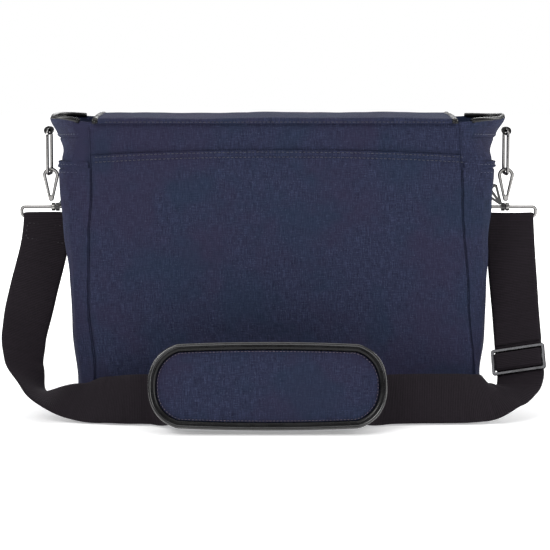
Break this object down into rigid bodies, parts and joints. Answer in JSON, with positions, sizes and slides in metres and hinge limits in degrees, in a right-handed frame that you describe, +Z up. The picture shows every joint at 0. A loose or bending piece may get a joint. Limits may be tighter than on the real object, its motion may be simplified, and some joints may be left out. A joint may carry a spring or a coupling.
{
  "type": "diaper bag",
  "caption": "Messenger style diaper bag with a fold-over flap, side bottle pockets, a back slip pocket and a hook-on webbing shoulder strap with a padded sleeve.",
  "frame": {"origin": "on the floor, under the middle of the bag's body", "axes": "+Z up, +X to the right of someone looking at the bag's back, which faces -Y; the flap opens towards the front, +Y"},
  "size_m": [0.5484, 0.2481, 0.3031],
  "materials": {
    "fabric": "linen weave",
    "lining": "smooth weave",
    "webbing": "ribbed webbing",
    "leather": "satin",
    "nickel": "polished",
    "coated": "satin"
  },
  "bodies": {
    "bag": {"back_panel": "fabric", "back_slip_pocket": "fabric", "front_panel": "fabric", "gusset_left": "fabric", "gusset_right": "fabric", "bottle_pocket_left": "fabric", "bottle_pocket_right": "fabric", "gusset_binding_left": "leather", "gusset_binding_right": "leather", "base_panel": "fabric", "base_board": "lining", "lining": "lining", "organiser_pocket": "lining", "front_pocket_left": "fabric", "front_pocket_right": "fabric", "snap_bag_left": "nickel", "snap_bag_right": "nickel"},
    "flap_top": {"flap_top": "fabric"},
    "flap_front": {"flap_front": "fabric", "zip_tape": "lining", "snap_flap_left": "nickel", "snap_flap_right": "nickel"},
    "zip_slider": {"zip_slider": "nickel"},
    "zip_pull": {"zip_pull": "nickel"},
    "ring_left": {"ring_left": "nickel", "tab_left": "leather"},
    "ring_right": {"ring_right": "nickel", "tab_right": "leather"},
    "strap": {"strap_loop_left": "nickel", "strap_loop_right": "nickel", "webbing_left": "webbing", "webbing_run": "webbing", "webbing_right_back": "webbing", "webbing_right_front": "webbing", "swivel_left": "nickel", "swivel_right": "nickel"},
    "hook_left": {"hook_left": "nickel"},
    "hook_right": {"hook_right": "nickel"},
    "hook_gate_left": {"hook_gate_left": "nickel"},
    "hook_gate_right": {"hook_gate_right": "nickel"},
    "stroller_clip_left": {"stroller_clip_left": "coated"},
    "stroller_clip_right": {"stroller_clip_right": "coated"},
    "adjuster": {"adjuster_frame": "nickel", "adjuster_wrap": "webbing"},
    "shoulder_pad": {"pad_cover": "fabric", "pad_binding": "leather", "pad_backing": "webbing", "pad_keeper_left": "webbing", "pad_keeper_right": "webbing"}
  },
  "joints": [
    {"name": "flap_open", "type": "hinge", "parent": "bag", "child": "flap_top", "pos_m": [0, -0.0586, 0.2946], "axis": [1, 0, 0], "range_deg": [0, 170]},
    {"name": "flap_fold", "type": "hinge", "parent": "flap_top", "child": "flap_front", "pos_m": [0, 0.07, 0.2943], "axis": [1, 0, 0], "range_deg": [0, 85]},
    {"name": "zip_slide", "type": "slide", "parent": "flap_front", "child": "zip_slider", "axis": [1, 0, 0], "range_m": [0, 0.216]},
    {"name": "zip_pull_swing", "type": "hinge", "parent": "zip_slider", "child": "zip_pull", "pos_m": [-0.108, 0.0799, 0.2175], "axis": [1, 0, 0], "range_deg": [0, 120]},
    {"name": "strap_swing", "type": "hinge", "parent": "bag", "child": "strap", "pos_m": [0, 0.008, 0.2832], "axis": [-1, 0, 0], "range_deg": [0, 170], "deforming": ["bottle_pocket_left", "bottle_pocket_right"]},
    {"name": "ring_left_swing", "type": "hinge", "parent": "bag", "child": "ring_left", "pos_m": [-0.2314, 0.008, 0.2832], "axis": [-1, 0, 0], "range_deg": [0, 170]},
    {"name": "ring_right_swing", "type": "hinge", "parent": "bag", "child": "ring_right", "pos_m": [0.2368, 0.008, 0.2832], "axis": [-1, 0, 0], "range_deg": [0, 170]},
    {"name": "hook_left_swivel", "type": "hinge", "parent": "strap", "child": "hook_left", "pos_m": [-0.2302, 0.008, 0.212], "axis": [0, 0, 1], "range_deg": [-20, 20]},
    {"name": "hook_right_swivel", "type": "hinge", "parent": "strap", "child": "hook_right", "pos_m": [0.2372, 0.008, 0.212], "axis": [0, 0, 1], "range_deg": [-20, 20]},
    {"name": "hook_left_gate", "type": "hinge", "parent": "hook_left", "child": "hook_gate_left", "pos_m": [-0.2342, 0.008, 0.2205], "axis": [0, 1, 0], "range_deg": [0, 20], "stiffness_Nm_per_rad": 0.02},
    {"name": "hook_right_gate", "type": "hinge", "parent": "hook_right", "child": "hook_gate_right", "pos_m": [0.2412, 0.008, 0.2205], "axis": [0, -1, 0], "range_deg": [0, 20], "stiffness_Nm_per_rad": 0.02},
    {"name": "stroller_clip_left_swing", "type": "hinge", "parent": "strap", "child": "stroller_clip_left", "pos_m": [-0.2234, 0.008, 0.2049], "axis": [1, 0, 0], "range_deg": [-25, 60]},
    {"name": "stroller_clip_right_swing", "type": "hinge", "parent": "strap", "child": "stroller_clip_right", "pos_m": [0.2344, 0.008, 0.2049], "axis": [1, 0, 0], "range_deg": [-10, 45]},
    {"name": "adjuster_slide", "type": "slide", "parent": "strap", "child": "adjuster", "axis": [-0.0436, 0.4145, 0.909], "range_m": [0, 0.02], "deforming": ["webbing_right_front"]},
    {"name": "pad_slide", "type": "slide", "parent": "strap", "child": "shoulder_pad", "axis": [1, 0, 0], "range_m": [-0.012, 0.012]}
  ],
  "couplings": [
    {"joint": "ring_left_swing", "follows": "strap_swing", "ratio": 1},
    {"joint": "ring_right_swing", "follows": "strap_swing", "ratio": 1}
  ]
}
